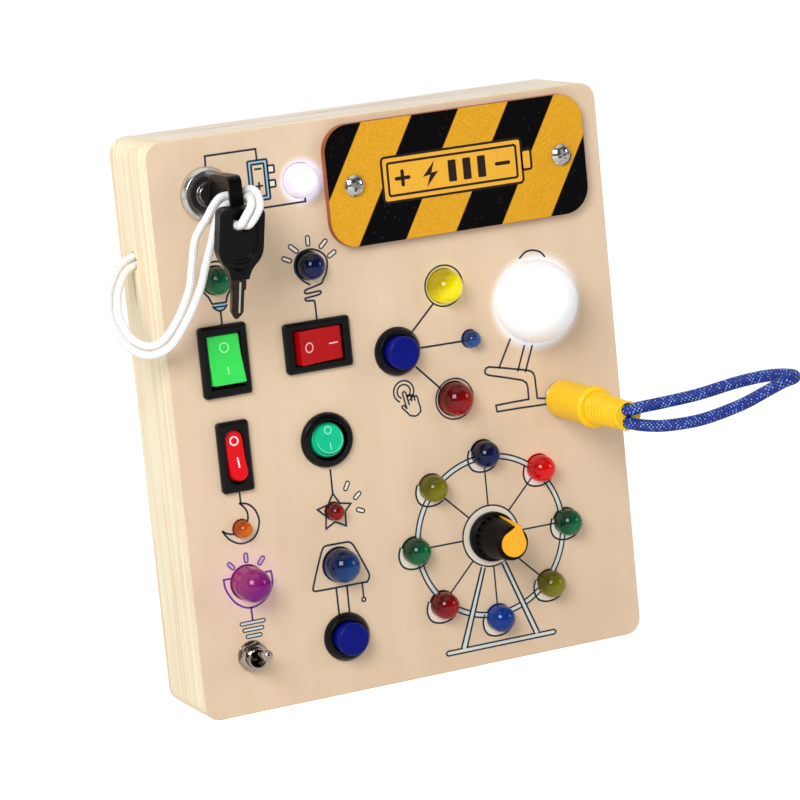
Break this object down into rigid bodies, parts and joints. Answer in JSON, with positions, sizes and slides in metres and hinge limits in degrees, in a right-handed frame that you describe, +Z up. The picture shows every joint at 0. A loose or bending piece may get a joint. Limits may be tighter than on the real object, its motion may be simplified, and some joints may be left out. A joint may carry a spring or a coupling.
{
  "type": "wooden busy board",
  "caption": "Upright pine box with a panel of lamps, rocker, push, toggle and key switches, a selector knob and a pull plug, for a child to work.",
  "frame": {"origin": "middle of the underside that the board stands on", "axes": "+Z up the board's height, -Y out of its front panel, +X to the right as seen from the front"},
  "size_m": [0.1733, 0.1192, 0.17],
  "materials": {
    "panel_wood": "satin",
    "frame_wood": "satin",
    "back_wood": "satin",
    "cover_board": "gloss",
    "steel": "satin",
    "nickel": "polished",
    "brass": "satin",
    "black_plastic": "satin",
    "black_gloss": "gloss",
    "cell_wrap": "gloss",
    "green_paddle": "gloss",
    "red_paddle": "gloss",
    "slim_paddle": "gloss",
    "teal_paddle": "gloss",
    "blue_cap": "gloss",
    "knob_yellow": "gloss",
    "plug_yellow": "gloss",
    "key_cord": "woven",
    "loop_cord": "woven",
    "circuit_board": "satin",
    "globe_white": "satin",
    "lamp_white": "gloss",
    "lamp_green": "gloss",
    "lamp_navy": "gloss",
    "lamp_orange": "gloss",
    "lamp_crimson": "gloss",
    "lamp_purple": "gloss",
    "lamp_blue": "gloss",
    "lamp_sky": "gloss",
    "lamp_yellow": "gloss",
    "lamp_olive": "gloss",
    "lamp_lit_red": "gloss"
  },
  "bodies": {
    "board": {"front_panel": "panel_wood", "frame_left": "frame_wood", "frame_right": "frame_wood", "frame_rails": "frame_wood", "back_panel": "back_wood", "screws": "steel", "battery_cover": "cover_board", "battery_tray": "black_plastic", "batteries": "cell_wrap", "battery_contacts": "nickel", "lock_body": "nickel", "inner_knot": "key_cord", "lock_lamp": "lamp_white", "green_lamp": "lamp_green", "blue_lamp": "lamp_navy", "moon_lamp": "lamp_orange", "star_lamp": "lamp_crimson", "purple_lamp": "lamp_purple", "shade_lamp": "lamp_blue", "yellow_lamp": "lamp_yellow", "red_lamp": "lamp_crimson", "small_blue_lamp": "lamp_sky", "globe_cover": "globe_white", "globe_base": "lamp_white", "wheel_lamps_blue": "lamp_navy", "wheel_lamps_green": "lamp_green", "wheel_lamps_olive": "lamp_olive", "wheel_lamp_red": "lamp_crimson", "wheel_lamp_lit": "lamp_lit_red", "wheel_board": "circuit_board", "green_rocker_housing": "black_gloss", "red_rocker_housing": "black_gloss", "slim_rocker_housing": "black_gloss", "round_rocker_housing": "black_gloss", "button_housings": "black_gloss", "toggle_body": "steel", "mounting_nuts": "nickel", "selector_switch": "steel", "jack_socket": "nickel"},
    "green_rocker": {"green_rocker": "green_paddle"},
    "red_rocker": {"red_rocker": "red_paddle"},
    "slim_rocker": {"slim_rocker": "slim_paddle"},
    "round_rocker": {"round_rocker": "teal_paddle"},
    "centre_button": {"centre_button_cap": "blue_cap"},
    "low_button": {"low_button_cap": "blue_cap"},
    "toggle": {"toggle_lever": "nickel"},
    "selector": {"selector_shaft": "steel", "selector_knob": "black_plastic", "selector_pointer": "knob_yellow"},
    "plug": {"plug_shell": "plug_yellow", "plug_contacts": "nickel", "plug_loop": "loop_cord"},
    "lock_core": {"lock_core": "steel"},
    "key_carrier": {"key_cord": "key_cord", "key_knot": "key_cord"},
    "main_key": {"main_key_head": "black_plastic", "main_key_blade": "nickel"},
    "spare_key": {"spare_key_head": "black_plastic", "spare_key_blade": "nickel"}
  },
  "joints": [
    {"name": "green_rocker_tilt", "type": "hinge", "parent": "board", "child": "green_rocker", "pos_m": [-0.0548, -0.015, 0.1051], "axis": [1, 0, 0], "range_deg": [0, 24]},
    {"name": "red_rocker_tilt", "type": "hinge", "parent": "board", "child": "red_rocker", "pos_m": [-0.0255, -0.015, 0.1051], "axis": [0, 0, -1], "range_deg": [0, 24]},
    {"name": "slim_rocker_tilt", "type": "hinge", "parent": "board", "child": "slim_rocker", "pos_m": [-0.0548, -0.015, 0.0768], "axis": [1, 0, 0], "range_deg": [0, 24]},
    {"name": "round_rocker_tilt", "type": "hinge", "parent": "board", "child": "round_rocker", "pos_m": [-0.0255, -0.015, 0.0768], "axis": [1, 0, 0], "range_deg": [0, 24]},
    {"name": "centre_button_press", "type": "slide", "parent": "board", "child": "centre_button", "axis": [0, 1, 0], "range_m": [0, 0.0025], "stiffness_N_per_m": 250, "springref_m": -0.0015},
    {"name": "low_button_press", "type": "slide", "parent": "board", "child": "low_button", "axis": [0, 1, 0], "range_m": [0, 0.0025], "stiffness_N_per_m": 250, "springref_m": -0.0015},
    {"name": "toggle_flip", "type": "hinge", "parent": "board", "child": "toggle", "pos_m": [-0.0557, -0.015, 0.0173], "axis": [1, 0, 0], "range_deg": [0, 22]},
    {"name": "selector_turn", "type": "hinge", "parent": "board", "child": "selector", "pos_m": [0.0244, -0.015, 0.0389], "axis": [0, 1, 0], "range_deg": [-30, 180]},
    {"name": "plug_pull", "type": "slide", "parent": "board", "child": "plug", "axis": [0, -1, 0], "range_m": [0, 0.022]},
    {"name": "lock_turn", "type": "hinge", "parent": "board", "child": "lock_core", "pos_m": [-0.0548, -0.015, 0.1535], "axis": [0, 1, 0], "range_deg": [0, 60]},
    {"name": "key_pull", "type": "slide", "parent": "board", "child": "key_carrier", "axis": [0, -1, 0], "range_m": [0, 0.018], "deforming": ["key_cord"]},
    {"name": "key_turn", "type": "hinge", "parent": "key_carrier", "child": "main_key", "pos_m": [-0.0548, -0.0345, 0.1535], "axis": [0, 1, 0], "range_deg": [0, 60], "deforming": ["key_cord"]},
    {"name": "spare_key_swing", "type": "hinge", "parent": "key_carrier", "child": "spare_key", "pos_m": [-0.0562, -0.043, 0.1476], "axis": [0, 1, 0], "range_deg": [-20, 20], "deforming": ["key_cord"]}
  ],
  "couplings": [
    {"joint": "lock_turn", "follows": "key_turn", "ratio": 1}
  ]
}
